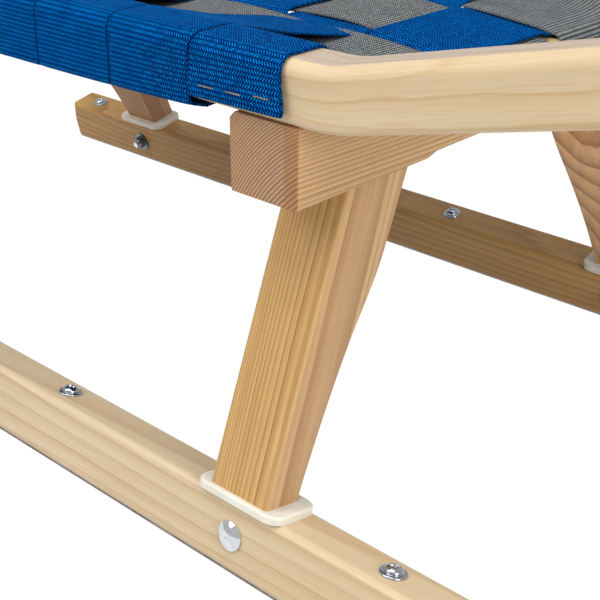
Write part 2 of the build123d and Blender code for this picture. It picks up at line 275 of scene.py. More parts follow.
def addWorld():
    # white to the eye, dimmer as a lamp, and between the two in polished metal
    world = bpy.data.worlds.new("studio")
    scene.world = world
    world.use_nodes = True
    tree = world.node_tree
    tree.nodes.clear()
    path = put(tree, "ShaderNodeLightPath").outputs
    eye = calc("MAXIMUM", path["Is Camera Ray"], path["Is Transmission Ray"])
    white = calc("MULTIPLY_ADD", path["Is Glossy Ray"], studio["inMetal"], eye, clamp=True)
    strength = remap(white, 0.0, 1.0, studio["ambient"], 1.0, False)
    sky = put(tree, "ShaderNodeBackground", {"Strength": strength})
    put(tree, "ShaderNodeOutputWorld", {"Surface": sky.outputs[0]})


def addLamps():
    for name, place, aim, size, watts, tint in studio["lamps"]:
        data = bpy.data.lights.new(name, "AREA")
        data.shape, data.size, data.energy, data.color = "DISK", size, watts, tint
        lamp = newObject(name, data)
        lamp.location = place
        lamp.rotation_euler = facing(Vector(place) - Vector(aim))


scene.view_settings.view_transform = "Standard"
addCamera()
addFloor()
addWorld()
addLamps()
print("camera, floor and lamps set")

# ---- wood ----
# detail, roughness and stretch of each noise in the wood, with x along the grain
woodNoise = {
    "wander": (1.5, 0.45, (2.3, 9.0, 9.0)),
    "shake": (2.0, 0.6, (12.0, 120.0, 120.0)),
    "fibre": (3.0, 0.6, (22.0, 950.0, 950.0)),
    "pore": (1.0, 0.5, (75.0, 2100.0, 2100.0)),
    "tone": (2.0, 0.5, (5.0, 30.0, 30.0)),
    "streak": (2.0, 0.55, (6.0, 210.0, 210.0)),
}
# what the boards share where their own looks say nothing else
boardLook = {
    "crowd": 1.0, "shake": 0.0013, "weakest": 0.35, "fineCount": 4.0, "fine": 0.3, "streak": 0.14,
    "fibre": 0.1, "pore": 0.25, "rough": 0.52,
}


def woodFigureGroup():
    # Rings are shells round a pith line along x. Their count is the distance from it, shaken by noise, over
    # the ring width, to the power Crowd, which packs the outer rings closer. Each ring darkens slowly and
    # ends sharply. Fibres and pores are noise drawn out along x.
    group, given, out = newGroup(
        "woodFigure",
        "Place RingWidth Crowd PithY PithZ Wander Shake Sharpness Weakest FineCount",
        "Rings Fine Fibres Pores Tone Streak",
    )
    place = given["Place"]
    at = splitVector(place)
    shift = splitVector(noise(place, 1.0, *woodNoise["wander"], "Color"))
    sway = [times(minus(shift[i], 0.5), given["Wander"]) for i in (0, 1)]
    across = plus(minus(at[1], given["PithY"]), sway[0])
    depth = plus(minus(at[2], given["PithZ"]), sway[1])
    square = plus(times(across, across), times(depth, depth))
    shake = minus(noise(place, 1.0, *woodNoise["shake"]), 0.5)
    radius = plus(calc("SQRT", square), times(shake, given["Shake"]))
    count = calc("POWER", over(radius, given["RingWidth"]), given["Crowd"])
    part = calc("FRACT", count)
    line = calc("POWER", part, given["Sharpness"])
    line = times(line, remap(part, 0.9, 1.0, 1.0, 0.0))
    number = anyValue(calc("FLOOR", count))
    strength = remap(number, 0.0, 1.0, given["Weakest"], 1.0, False)
    fineCount = times(count, given["FineCount"])
    finePart = calc("FRACT", fineCount)
    fineLine = times(times(finePart, finePart), remap(finePart, 0.85, 1.0, 1.0, 0.0))
    fineNumber = anyValue(calc("FLOOR", fineCount))
    pore = remap(noise(place, 1.0, *woodNoise["pore"]), 0.6, 0.7)
    early = remap(part, 0.0, 0.45, 1.0, 0.25)        # pores are few in the late wood
    fill(out, {
        "Rings": times(line, strength),
        "Fine": times(fineLine, fineNumber),
        "Fibres": noise(place, 1.0, *woodNoise["fibre"]),
        "Pores": times(pore, early),
        "Tone": noise(place, 1.0, *woodNoise["tone"]),
        "Streak": noise(place, 1.0, *woodNoise["streak"]),
    })
    return group


def runnerPathGroup():
    # straightens the upturn: the place is measured along the wood, round the bend, and up from its middle
    group, given, out = newGroup("alongRunner", "Place Start Radius Turn", "Place")
    at = splitVector(given["Place"])
    radius = given["Radius"]
    ahead = minus(at[0], given["Start"])
    below = minus(radius, at[2])
    angle = calc("MAXIMUM", calc("ARCTAN2", ahead, below), 0.0)
    angle = calc("MINIMUM", angle, given["Turn"])
    s, c = calc("SINE", angle), calc("COSINE", angle)
    dx = minus(ahead, times(radius, s))
    dz = minus(at[2], times(radius, minus(1.0, c)))
    along = plus(times(dx, c), times(dz, s))
    along = plus(along, times(radius, angle))
    up = minus(times(dz, c), times(dx, s))
    fill(out, {"Place": joinVector(along, at[1], up)})
    return group


def railPathGroup():
    # Straightens the rail: forward of the bend the place is moved back down the rise and out from the toe.
    group, given, out = newGroup("alongRail", "Place Bend Rise Toe", "Place")
    at = splitVector(given["Place"])
    past = minus(at[0], given["Bend"])
    # a soft corner where the run starts
    soft = calc("SQRT", plus(times(past, past), 0.0001))
    run = times(plus(past, soft), 0.5)
    y = minus(at[1], times(run, given["Toe"]))
    z = minus(at[2], times(run, given["Rise"]))
    fill(out, {"Place": joinVector(at[0], y, z)})
    return group


woodFigure = woodFigureGroup()
alongRunner = runnerPathGroup()
alongRail = railPathGroup()


def endGrain(place, colour, rings, end):
    # the sawn ends drink more oil: stronger rings, and a strip of richer colour along one edge
    at = splitVector(place)
    onEnd = remap(calc("ABSOLUTE", at[0]), *end["from"])
    strip = remap(at[1], *end["strip"])
    pale = blend(strip, end["pale"], end["rich"])
    dots = times(remap(noise(place, *end["dots"]), *end["dotFrom"]), end["dotShare"])
    share = calc("MULTIPLY", rings, remap(strip, 0.0, 1.0, *end["stronger"], False), clamp=True)
    grain = blend(calc("MAXIMUM", share, dots), pale, end["ring"])
    return blend(onEnd, colour, grain)


def facetTint(colour, facet):
    # faces that point one way take a tint by their normal: on the rails' tops this is painted light, the
    # cooler, greyer look the top takes under the light from above; on the legs it makes the forward faces
    # paler and cooler
    normal = splitVector(put(colour.id_data, "ShaderNodeNewGeometry").outputs["Normal"])
    share = remap(normal[facet["axis"]], facet["from"], facet["to"])
    return blend(share, colour, facet["tint"], "MULTIPLY")


def makeWood(name, look, turn, move, straighten=None, mirrored=1):
    look = {**boardLook, **look}
    material, tree, shader = newMaterial(name)
    inputs = {"Rotation": turn, "Location": move, "Vector": objectPlace(tree)}
    place = put(tree, "ShaderNodeMapping", inputs).outputs["Vector"]
    if straighten is not None:
        place = straighten(place)
    figure = useGroup(
        woodFigure, Place=place, RingWidth=look["ringWidth"], Crowd=look["crowd"],
        PithY=mirrored * look["pith"][0], PithZ=look["pith"][1], Wander=look["wander"],
        Shake=look["shake"], Sharpness=look["sharpness"], Weakest=look["weakest"],
        FineCount=look["fineCount"])
    rings, fibres, pores = figure["Rings"], figure["Fibres"], figure["Pores"]
    colour = blend(remap(figure["Tone"], 0.3, 0.7), look["pale"], look["warm"])
    colour = blend(remap(figure["Streak"], 0.35, 0.75, 0.0, look["streak"]), colour, look["ring"])
    colour = blend(times(figure["Fine"], look["fine"]), colour, look["ring"])
    colour = blend(times(rings, look["ringShare"]), colour, look["ring"])
    if "end" in look:
        colour = endGrain(place, colour, rings, look["end"])
    if "facet" in look:
        colour = facetTint(colour, look["facet"])
    fibre, rough = look["fibre"], look["rough"]
    colour = scaleColour(colour, remap(fibres, 0.3, 0.7, 1.0 - fibre, 1.0 + 0.5 * fibre, False))
    fill(shader, {
        "Base Color": blend(times(pores, look["pore"]), colour, look["poreColour"]),
        "Roughness": remap(fibres, 0.3, 0.7, rough + 0.06, rough - 0.05, False),
        "Coat Weight": 0.12,
        "Coat Roughness": 0.4,
    })
    addBump(shader, minus(times(fibres, 0.5), pores), 0.25, 0.0003)
    return material


def wear(nodeName, material):
    piece = nodes[nodeName]
    piece.data.materials.clear()
    piece.data.materials.append(material)


runner = {
    "start": trestleX + 130.0, "radius": 280.0, "turn": radians(65), "cant": radians(13.2),
    "middleY": 200.49, "middleZ": 21.94,
}
runnerLook = {
    "right": {
        "pale": (0.7, 0.56, 0.37), "warm": (0.66, 0.51, 0.32), "ring": (0.47, 0.29, 0.12),
        "poreColour": (0.44, 0.3, 0.16), "ringWidth": 0.0085, "pith": (0.02, -0.05), "wander": 0.036,
        "sharpness": 2.2, "ringShare": 0.75, "fineCount": 5.0, "streak": 0.1, "fibre": 0.07, "pore": 0.2,
        "rough": 0.5,
    },
    # the left runner's darker, browner colours are painted shade, for the far runner under the seat, which
    # gets less light; its closer, wavier rings are its own grain
    "left": {
        "pale": (0.57, 0.325, 0.1), "warm": (0.5, 0.275, 0.078), "ring": (0.2, 0.075, 0.014),
        "poreColour": (0.2, 0.1, 0.04), "ringWidth": 0.006, "pith": (-0.01, -0.05), "wander": 0.05,
        "shake": 0.004, "sharpness": 2.8, "ringShare": 0.95, "fine": 0.35, "fibre": 0.09,
    },
}


def straightenRunner(place):
    start, radius = runner["start"] * mm, runner["radius"] * mm
    return useGroup(alongRunner, Place=place, Start=start, Radius=radius, Turn=runner["turn"])["Place"]


for side, sign in sides:
    move = (0, sign * runner["middleY"] * mm, runner["middleZ"] * mm)
    wood = makeWood(f"runnerWood{side.capitalize()}", runnerLook[side], (sign * runner["cant"], 0, 0), move,
                    straightenRunner)
    wear(f"runner_{side}", wood)

rail = {
    "bend": trestleX + 38.0, "rise": tan(radians(13.2)), "toe": tan(radians(3.1)),
    "middleY": 171.5, "middleZ": 264.25,
    "further": 0.6,           # metres along the grain from the right rail's figure to the left one's
}
railLook = {
    "pale": (0.7, 0.56, 0.365), "warm": (0.67, 0.52, 0.32), "ring": (0.52, 0.29, 0.085),
    "poreColour": (0.46, 0.3, 0.15), "ringWidth": 0.0052, "pith": (0.034, -0.03), "wander": 0.036,
    "shake": 0.0046, "sharpness": 6.0, "ringShare": 0.95, "fibre": 0.07, "pore": 0.15, "rough": 0.48,
    # the top faces are tinted cooler and darker: painted light, for how the rail's top takes the light
    "facet": {"axis": 2, "from": 0.945, "to": 0.97, "tint": (0.72, 0.74, 0.92)},
}


def straightenRail(sign):
    def apply(place):
        bend, toe = rail["bend"] * mm, sign * rail["toe"]
        return useGroup(alongRail, Place=place, Bend=bend, Rise=rail["rise"], Toe=toe)["Place"]
    return apply


for side, sign in sides:
    further = 0.0 if side == "right" else rail["further"]
    move = (further, sign * rail["middleY"] * mm, -rail["middleZ"] * mm)
    wood = makeWood(f"railWood{side.capitalize()}", railLook, (0, 0, 0), move, straightenRail(sign))
    wear(f"seat_rail_{side}", wood)

crossbarLook = {
    "pale": (0.64, 0.42, 0.205), "warm": (0.58, 0.37, 0.165), "ring": (0.24, 0.095, 0.028),
    "poreColour": (0.27, 0.13, 0.05), "ringWidth": 0.0226, "crowd": 2.26, "pith": (-0.066, -0.075),
    "wander": 0.006, "shake": 0.0008, "sharpness": 1.8, "weakest": 0.72, "ringShare": 0.9, "fineCount": 2.0,
    "fine": 0.2, "streak": 0.16,
    "turn": (0.024, 0, -pi / 2), "shift": (0.0055, -0.229),        # where in its log the bar was cut
    "end": {
        "from": (0.1862, 0.1866), "strip": (-0.0128, -0.0142), "stronger": (1.7, 1.5),
        "dots": (1400.0, 2.0, 0.6), "dotFrom": (0.5, 0.62), "dotShare": 0.35,
        "pale": (0.56, 0.35, 0.19), "ring": (0.2, 0.065, 0.012), "rich": (0.47, 0.25, 0.095),
    },
}
for end, x in trestles:
    across, up = crossbarLook["shift"]
    move = (across, x * mm, up)
    wood = makeWood(f"crossbarWood{end.capitalize()}", crossbarLook, crossbarLook["turn"], move)
    wear(f"crossbar_{end}", wood)

legLook = {
    "pale": (0.68, 0.43, 0.165), "warm": (0.61, 0.37, 0.125), "ring": (0.28, 0.105, 0.018),
    "poreColour": (0.34, 0.18, 0.06), "ringWidth": 0.0277, "crowd": 3.0, "pith": (0.02, -0.045),
    "wander": 0.006, "sharpness": 2.6, "weakest": 0.6, "ringShare": 1.0, "fineCount": 2.3, "fine": 0.55,
    "streak": 0.22,
    "facet": {"axis": 0, "from": 0.5, "to": 0.9, "tint": (1.0, 1.06, 1.42)},
}
# the front left leg is from another board, coarser and redder; the rear left leg's darker colours are painted
# shade, for the far rear leg under the seat
legBoardsAndShade = {
    ("front", "left"): {
        "pale": (0.78, 0.47, 0.23), "warm": (0.72, 0.41, 0.18), "ring": (0.24, 0.075, 0.016),
        "ringWidth": 0.005, "crowd": 1.0, "pith": (0.09, -0.02), "sharpness": 2.0, "weakest": 0.8,
        "fine": 0.3,
    },
    # darker colours: painted shade
    ("rear", "left"): {
        "pale": (0.56, 0.3, 0.13), "warm": (0.49, 0.245, 0.095), "ring": (0.22, 0.075, 0.018),
    },
}
leg = {"tilt": atan2(187.5 - 130.0, 162.0), "along": 0.13, "out": 0.2133}
for end, x in trestles:
    for side, sign in sides:
        look = {**legLook, **legBoardsAndShade.get((end, side), {})}
        turn, move = (sign * leg["tilt"], pi / 2, 0), (leg["along"] * sign, sign * leg["out"], x * mm)
        wood = makeWood(f"legWood{end.capitalize()}{side.capitalize()}", look, turn, move, mirrored=sign)
        wear(f"leg_{end}_{side}", wood)
print("wood finished")


# ---- metal and plastic ----
def makeMetal(name, bright, dull, scale, rough, bump):
    material, tree, shader = newMaterial(name)
    place = objectPlace(tree)
    cloud = remap(noise(place, scale, 4.0, 0.6), 0.3, 0.7)
    scratch = noise(place, scale * 6, 3.0, 0.6)
    fill(shader, {
        "Base Color": blend(cloud, bright, dull),
        "Metallic": 1.0,
        "Roughness": remap(scratch, 0.3, 0.7, *rough, False),
    })
    addBump(shader, scratch, bump, 0.0001)
    return material


# bright and dull colour, how fine the clouds are, least and most rough, bump
metalLooks = {
    "brightZinc": ((0.74, 0.75, 0.76), (0.62, 0.64, 0.67), 300.0, (0.08, 0.18), 0.08),
    # the nuts' zinc is far darker than the bolts': painted shade and painted dark reflections, for nuts that
    # sit in shade
    "shadedNutZinc": ((0.22, 0.24, 0.26), (0.13, 0.145, 0.16), 300.0, (0.22, 0.38), 0.2),
    "screwZinc": ((0.5, 0.52, 0.56), (0.32, 0.35, 0.4), 260.0, (0.12, 0.24), 0.08),
    "stapleWire": ((0.42, 0.31, 0.2), (0.2, 0.13, 0.06), 90.0, (0.25, 0.4), 0.1),
    "runnerSteel": ((0.3, 0.25, 0.23), (0.18, 0.145, 0.13), 90.0, (0.3, 0.5), 0.25),
}
metals = {name: makeMetal(name, *look) for name, look in metalLooks.items()}
metalNodes = {
    "brightZinc": "leg_bolts rail_screws horn_bolts",
    "shadedNutZinc": "leg_nuts horn_nuts",
    "runnerSteel": "runner_strip_right runner_strip_left",
}
for metal, names in metalNodes.items():
    for name in names.split():
        wear(name, metals[metal])

# an off-white plastic, dimmed and yellowed: partly its own colour, partly painted shade and painted wood
# colour showing through it
collarLook = {
    "colour": (0.8, 0.775, 0.7), "edge": (0.73, 0.695, 0.6), "rough": 0.35,
    "glow": 0.25, "glowDepth": (0.004, 0.0035, 0.003),        # light that passes into the plastic
}


def makePlastic(name, look):
    material, tree, shader = newMaterial(name)
    place = objectPlace(tree)
    cloud = remap(noise(place, 60.0, 3.0, 0.5), 0.35, 0.65)
    fill(shader, {
        "Base Color": blend(cloud, look["colour"], look["edge"]),
        "Roughness": look["rough"],
        "Subsurface Weight": look["glow"],
        "Subsurface Radius": look["glowDepth"],
    })
    addBump(shader, noise(place, 1500.0, 2.0, 0.5), 0.1, 0.0001)
    return material


collarPlastic = makePlastic("collarPlastic", collarLook)
for end, x in trestles:
    for side, sign in sides:
        wear(f"collar_{end}_{side}", collarPlastic)
print("metal and plastic finished")

# ---- webbing ----
seat = {
    "railOutside": 187.5, "railWidth": 32.0, "railTop": 279.5, "railBottom": 249.0, "railRound": 7.0,
    "crossbarTop": 249.0, "crossbarHalf": 21.5,
    # middle height between the two layers, on the crossbars and between them, and the length of the climb
    "onCrossbar": 251.1, "level": 259.3, "climb": 82.0, "softTop": 0.02, "softFoot": 0.002,
    "under": 245.0,         # above this and between the rails, a band is in the seat
    "half": 150.0, "fade": 24.0,
}
ply = 0.98                  # half the distance between the middles of two bands that lie on each other
crossBand = {
    "count": 9, "width": 59.6, "pitch": 60.6, "front": trestleX + 13.2, "thick": 1.6, "gap": 0.3,
    "tuck": 24.0, "end": 3.7, "endTilt": 0.6,
    "cord": 2.4,            # the weave's cords lie this far apart along a band
    "lanes": 22,            # grid lines across the band
    "rib": 0.22,            # height of a cord
    "bead": 0.26,           # how far a selvedge bead stands out
    "crestRound": 8.1,
    # where a band reaches the level of the seat, out from the middle: under the outer lengthwise
    # bands, or over them in a tight chord
    "footRight": 132.0, "footLeft": 107.0, "footRounds": (9.0, 30.0),
    "chordRight": 66.0, "chordLeft": 26.0, "chordBreak": (118.0, 12.3), "chordDip": 0.9, "chordEase": 0.25,
    "chordRounds": ([120.0, 60.0], [80.0]),
    # how sharply the upper band's selvedges turn up, and how much a chord's do away from the middle
    "lipPower": 3.2, "curl": 0.5, "curlPower": 6, "curlFrom": 40.0,
    # the folded lower edges hang down, more so away from the end bands, over a sharper corner
    "hang": 1.8, "droop": 4.2, "droopRun": 90.0, "foldRound": 2.5,
    # a hem's line from its turned-back end round and up, as (out, up), and its corners
    "hem": [(0.1, 13.0), (0.1, 0.6), (2.9, 0.2), (2.7, 6.0), (2.1, 11.5), (1.2, 17.5)],
    "hemRounds": [1.3, 1.2, 5.0, 6.0, 8.0],
    # the second band's folded end pulls forwards and down
    "skew": 3.0, "skewRun": 8.0, "skewDrop": 2.0, "skewFade": 12.0,
    "endGap": 0.9,          # the end bands are pulled in this much beside their neighbours
    "turnIn": 0.05,         # the part inside a hem is narrower by this share
    "turnInRun": (16.0, 5.0),
    "spread": 2.2,          # how far a hem's outer selvedge spreads, over this drop below the rail's top
    "spreadDrop": 24.0,
    "finish": "blueWebbing", "slot": "blue_webbing", "rests": ["seat_rail_right", "seat_rail_left"],
}
longBand = {
    "count": 3, "width": 70.0, "pitch": 81.5, "middle": -14.5, "thick": 1.6, "gap": 0.3, "drop": 14.0,
    "cord": 2.5, "lanes": 26, "rib": 0.26, "bead": 0.32, "cornerRound": 3.0,
    "wave": 0.8,            # below 1, a band stays longer on the level of its ply
    "landing": 6.0,         # how far behind the crossbar's front it has come down on it
    "landingFrom": 0.62,    # share of the way there on which it stays up
    "finish": "greyWebbing", "slot": "grey_webbing", "rests": ["crossbar_front", "crossbar_rear"],
}
longMiddles = [longBand["middle"] + (j - 1) * longBand["pitch"] for j in range(longBand["count"])]
firstMiddle = crossBand["front"] - crossBand["width"] / 2
crossMiddles = [firstMiddle - k * crossBand["pitch"] for k in range(crossBand["count"])]
hemBands = (0, crossBand["count"] - 1)
# how far the front edge of the upper band stands off, by cross band and lengthwise band
lips = {
    "plain": 0.5, "front": {(0, 1): 0.4, (2, 1): 1.3, (6, 1): 1.6, (4, 1): 1.1},
    "inset": 4.0, "run": 16.0, "beyond": (14.0, 16.0), "far": 400.0,
}
# the left edge of the left lengthwise band stands up towards the front
liftedEdge = {
    "band": 2, "height": 4.6, "power": 3, "from": trestleX - 50.0, "run": 30.0, "short": 3.0, "end": 9.0,
}


def seatBase(x):
    # middle height between the two layers: on the crossbars, then up to the level of the seat
    middle = trestleX - trestleSpacing / 2
    inwards = trestleSpacing / 2 - np.abs(x - middle) + seat["crossbarHalf"]
    t = inwards / seat["climb"]
    t = 0.5 * (t + 1 - np.sqrt((t - 1) ** 2 + seat["softTop"]))        # a soft corner at the top of the climb
    t = 0.5 * (t + np.sqrt(t ** 2 + seat["softFoot"]))                 # and one at its foot
    return seat["onCrossbar"] + (seat["level"] - seat["onCrossbar"]) * np.minimum(t, 1.0)


def isOver(k, j):
    # the cross band is on top where the two numbers add up to an odd one
    return (k + j) % 2 == 1


def crossSway(k, y):
    # 1 where cross band k is the upper one, -1 where it is the lower one, 0 outside the lengthwise bands
    half = longBand["width"] / 2
    knots, values = [-lips["far"], longMiddles[0] - half - lips["beyond"][0]], [0.0, 0.0]
    for j, middle in enumerate(longMiddles):
        knots += [middle - half, middle + half]
        values += [1.0 if isOver(k, j) else -1.0] * 2
    knots += [longMiddles[-1] + half + lips["beyond"][1], lips["far"]]
    values += [0.0, 0.0]
    return np.sin(np.interp(y, knots, values) * pi / 2)


def frontLip(k, y):
    # lip height of cross band k along y, where it is the upper one
    amount = np.full_like(y, lips["plain"])
    for j, middle in enumerate(longMiddles):
        near = smooth(1.0 - (np.abs(y - middle) - longBand["width"] / 2 + lips["inset"]) / lips["run"])
        amount = amount + (lips["front"].get((k, j), lips["plain"]) - lips["plain"]) * near
    return amount


# how much thinner a selvedge is and how suddenly, the cords in turn, and the least a bead stands out
ribbon = {"thinner": 0.28, "power": 14, "cords": [-1.0, 1.0, -1.0, 0.2], "leastBead": 0.15}


def ribbonMesh(name, middle, look, phase):
    # A closed strip: middle is its mid-surface as rows along the band and lanes across it.
    # Its faces stand half the thickness off it, and less near the selvedges. Every other row is the top
    # of a cord, with a bead at each selvedge. UV is across and along, in metres.
    rows, lanes = middle.shape[:2]
    along = np.gradient(middle, axis=0)
    across = np.gradient(middle, axis=1)
    normal, across = unit(np.cross(along, across)), unit(across)
    u = np.linspace(-1, 1, lanes)
    beat = np.array(ribbon["cords"])[np.arange(rows) % 4][:, None]        # a tall cord, then a low one
    thin = 1 - ribbon["thinner"] * np.abs(u) ** ribbon["power"]
    half = look["thick"] / 2 * thin[None, :] + look["rib"] * 0.5 * beat
    top = middle + normal * half[:, :, None]
    under = middle - normal * half[:, :, None]
    reach = look["bead"] * np.abs(0.5 + 0.5 * beat) + ribbon["leastBead"]
    left = middle[:, 0] - across[:, 0] * reach
    right = middle[:, -1] + across[:, -1] * reach
    ring = np.concatenate([top, right[:, None], under[:, ::-1], left[:, None]], axis=1)
    count = ring.shape[1]
    faces = [tuple(f) for f in tubeFaces(rows, count)[:, [0, 3, 2, 1]].tolist()]
    # end caps: quads between the two faces, and a triangle at each selvedge
    lane = np.arange(lanes - 1)
    last = 2 * lanes
    for start, flip in ((0, True), ((rows - 1) * count, False)):
        caps = columns(lane, lane + 1, last - lane - 1, last - lane).tolist()
        caps += [[lanes - 1, lanes, lanes + 1], [last, last + 1, 0]]
        faces += [tuple(start + i for i in (f[::-1] if flip else f)) for f in caps]
    piece = newPiece(name, ring.reshape(-1, 3), faces)
    mesh = piece.data
    sideways = np.concatenate([u, [1.02], u[::-1], [-1.02]]) * look["width"] / 2 * mm
    lengthwise = np.repeat((np.arange(rows) * look["cord"] / 2 + phase * look["cord"]) * mm, count)
    perVertex = columns(np.tile(sideways, rows), lengthwise)
    layer = mesh.uv_layers.new(name="bandUV")
    index = np.empty(len(mesh.loops), np.int32)
    mesh.loops.foreach_get("vertex_index", index)
    layer.data.foreach_set("uv", perVertex[index].astype(np.float32).ravel())
    return piece


def roundedPath(points, radii, fine):
    # A line through corners with arcs at them, for all lanes at once. points is corners x lanes x 2.
    # Each corner has as many samples in every lane, so lanes stay side by side.
    points = np.asarray(points, float)
    pieces = [points[0][None]]
    last = points[0]
    for c, radius in enumerate(radii, 1):
        back, ahead = unit(points[c - 1] - points[c]), unit(points[c + 1] - points[c])
        opening = np.arccos(np.clip((back * ahead).sum(1), -1, 1))
        reach = (radius / np.tan(opening / 2))[:, None]
        centre = points[c] + unit(back + ahead) * (radius / np.sin(opening / 2))[:, None]
        start, end = points[c] + back * reach, points[c] + ahead * reach
        pieces.append(last + (start - last) * np.linspace(0, 1, fine)[1:, None, None])
        t = np.linspace(0, 1, 24)[1:, None, None]
        swing = (pi - opening)[None, :, None]
        arc = (start - centre) * np.sin((1 - t) * swing) + (end - centre) * np.sin(t * swing)
        pieces.append(centre + arc / np.sin(swing))
        last = end
    pieces.append(last + (points[-1] - last) * np.linspace(0, 1, fine)[1:, None, None])
    return np.concatenate(pieces)


def evenRows(path, step):
    # the same path with rows a fixed step apart, measured along its middle lane, and its length
    middle = path[:, path.shape[1] // 2]
    run = np.concatenate([[0], np.cumsum(np.linalg.norm(np.diff(middle, axis=0), axis=1))])
    at = np.interp(np.linspace(0, run[-1], int(round(run[-1] / step)) + 1), run, np.arange(len(run)))
    low = np.clip(np.floor(at).astype(int), 0, len(path) - 2)
    share = (at - low)[:, None, None]
    return path[low] * (1 - share) + path[low + 1] * share, run[-1]


def bandEnd(k, x):
    # Corners of the part of a cross band outside the crest of the rail, as (out, up), and their radii.
    b = crossBand
    away = b["gap"] + b["thick"] / 2
    outside, top = seat["railOutside"] + away, seat["railTop"] + away
    if k in hemBands:
        low = seat["crossbarTop"] + b["end"] + b["endTilt"] * np.linspace(-1, 1, len(x))
        points = [(outside + dy, low + dz) for dy, dz in b["hem"]] + [(outside, top)]
        return points, b["hemRounds"] + [b["crestRound"]]
    low = seat["railBottom"] - away
    half = b["width"] / 2
    inwards = np.maximum(np.minimum(crossMiddles[0] - half - x, x - crossMiddles[-1] - half), 0)
    hang = b["hang"] + b["droop"] * (1 - np.exp(-inwards / b["droopRun"]))
    points = [(outside - b["tuck"], low), (outside, low - hang), (outside, top)]
    return points, [b["foldRound"], b["crestRound"]]


def bandSeat(k, x, right):
    # Corners from the crest of the rail to the level of the seat, as (out, up), and their radii.
    b = crossBand
    top = seat["railTop"] + b["gap"] + b["thick"] / 2
    crest = seat["railOutside"] - seat["railWidth"] + seat["railRound"]
    base = seatBase(x)
    if k % 2:
        level = base - b["chordDip"]
        out, drop = b["chordBreak"]
        knee = (out, top - drop - b["chordEase"] * (seat["level"] - base))
        points = [knee, (b["chordRight"], level)] if right else [(b["chordLeft"], level)]
        radii = b["chordRounds"][0 if right else 1]
    else:
        points = [(b["footRight"] if right else b["footLeft"], base)]
        radii = [b["footRounds"][0 if right else 1]]
    slope = np.arctan2(top - np.mean(points[0][1]), crest - points[0][0])
    return [(crest - b["crestRound"] * tan(slope / 2), top)] + points, [b["crestRound"]] + radii


def makeCrossBand(k):
    b = crossBand
    u = np.linspace(-1, 1, b["lanes"])
    x = crossMiddles[k] + u * b["width"] / 2
    outer = -1 if k else 1                   # which selvedge of a hem band is at the end of the seat
    if k in hemBands:
        x = x + outer * b["endGap"] * smooth(-outer * u)
    halves = []
    for right in (True, False):
        outside, outsideRadii = bandEnd(k, x)
        inside, insideRadii = bandSeat(k, x, right)
        points = [np.stack([np.broadcast_to(v, x.shape) for v in p], axis=-1) for p in outside + inside]
        halves.append((points, outsideRadii + insideRadii))
    corners = [p * (-1, 1) for p in halves[0][0]] + halves[1][0][::-1]
    path, length = evenRows(roundedPath(corners, halves[0][1] + halves[1][1][::-1], 160), b["cord"] / 2)
    y, z = path[:, :, 0], path[:, :, 1]
    inSeat = smooth((seat["half"] - np.abs(y)) / seat["fade"]) * (z > seat["under"])
    sway = np.zeros_like(y) if k % 2 else crossSway(k, y)
    lip = np.where(u > 0, frontLip(k, y) * (sway > 0), lips["plain"] * (sway > 0))
    curl = b["curl"] * (k % 2) * smooth((np.abs(y) - b["curlFrom"]) / b["curlFrom"])
    edge = np.abs(u) ** b["lipPower"] * lip + np.abs(u) ** b["curlPower"] * curl
    z = z + inSeat * (sway * ply + edge)
    if k in hemBands:
        x = x + outer * b["spread"] * smooth(outer * u) * smooth((seat["railTop"] - z) / b["spreadDrop"])
        run = np.minimum(np.arange(len(y)), np.arange(len(y))[::-1]) * b["cord"] / 2
        turned = smooth((b["turnInRun"][0] - run) / b["turnInRun"][1])[:, None]
        x = x + (crossMiddles[k] - x) * b["turnIn"] * turned
    if k == 1:
        past = np.where((z < seat["railBottom"]) & (y < 0), seat["railOutside"] + y, 0)
        pull = smooth(past / b["skewRun"])
        x = x + b["skew"] * pull
        z = z - b["skewDrop"] * pull * smooth((b["tuck"] - past) / b["skewFade"])
    return ribbonMesh(f"crossBand{k + 1}", columns(x, y, z), b, 8.0 * k), length


def makeLongBand(j):
    b = longBand
    away = b["gap"] + b["thick"] / 2
    u = np.linspace(-1, 1, b["lanes"])
    y = longMiddles[j] + u * b["width"] / 2
    front = trestleX + seat["crossbarHalf"] + away
    rear = trestleX - trestleSpacing - seat["crossbarHalf"] - away
    onBar = seat["crossbarTop"] + away
    foot = seat["crossbarTop"] - b["drop"]
    corners = ((front, foot), (front, onBar), (rear, onBar), (rear, foot))
    corners = [np.tile(point, (len(y), 1)) for point in corners]
    path, length = evenRows(roundedPath(corners, [b["cornerRound"]] * 2, 900), b["cord"] / 2)
    x, z = path[:, :, 0], path[:, :, 1]
    onTop = z > onBar - 0.01
    sway = np.zeros_like(x)
    for k, middle in enumerate(crossMiddles):
        off = np.abs(x - middle) / (crossBand["pitch"] / 2)
        wave = np.cos(np.clip(off, 0, 1) * pi / 2) ** b["wave"]
        sway = sway + np.where(off <= 1, (-1.0 if isOver(k, j) else 1.0) * wave, 0)
    # past the first and last cross band a lengthwise band comes down on the crossbar
    for k, edge in zip(hemBands, (front - b["landing"], rear + b["landing"])):
        beyond = x > crossMiddles[k] if k == 0 else x < crossMiddles[k]
        t = np.clip(np.abs(x - crossMiddles[k]) / abs(edge - crossMiddles[k]), 0, 1)
        down = smooth((t - b["landingFrom"]) / (1 - b["landingFrom"]))
        sway = np.where(beyond, -1.0 if isOver(k, j) else 1 - down, sway)
    lift = seatBase(x) - onBar + sway * ply
    if j == liftedEdge["band"]:
        near = np.clip(u, 0, 1) ** liftedEdge["power"] * smooth((x - liftedEdge["from"]) / liftedEdge["run"])
        near = near * smooth((front - liftedEdge["short"] - x) / liftedEdge["end"])
        lift = lift + liftedEdge["height"] * near
    z = np.where(onTop, np.maximum(z + lift, onBar), z)
    return ribbonMesh(f"longBand{j + 1}", columns(x, y, z)[::-1], b, 12.0 * j), length


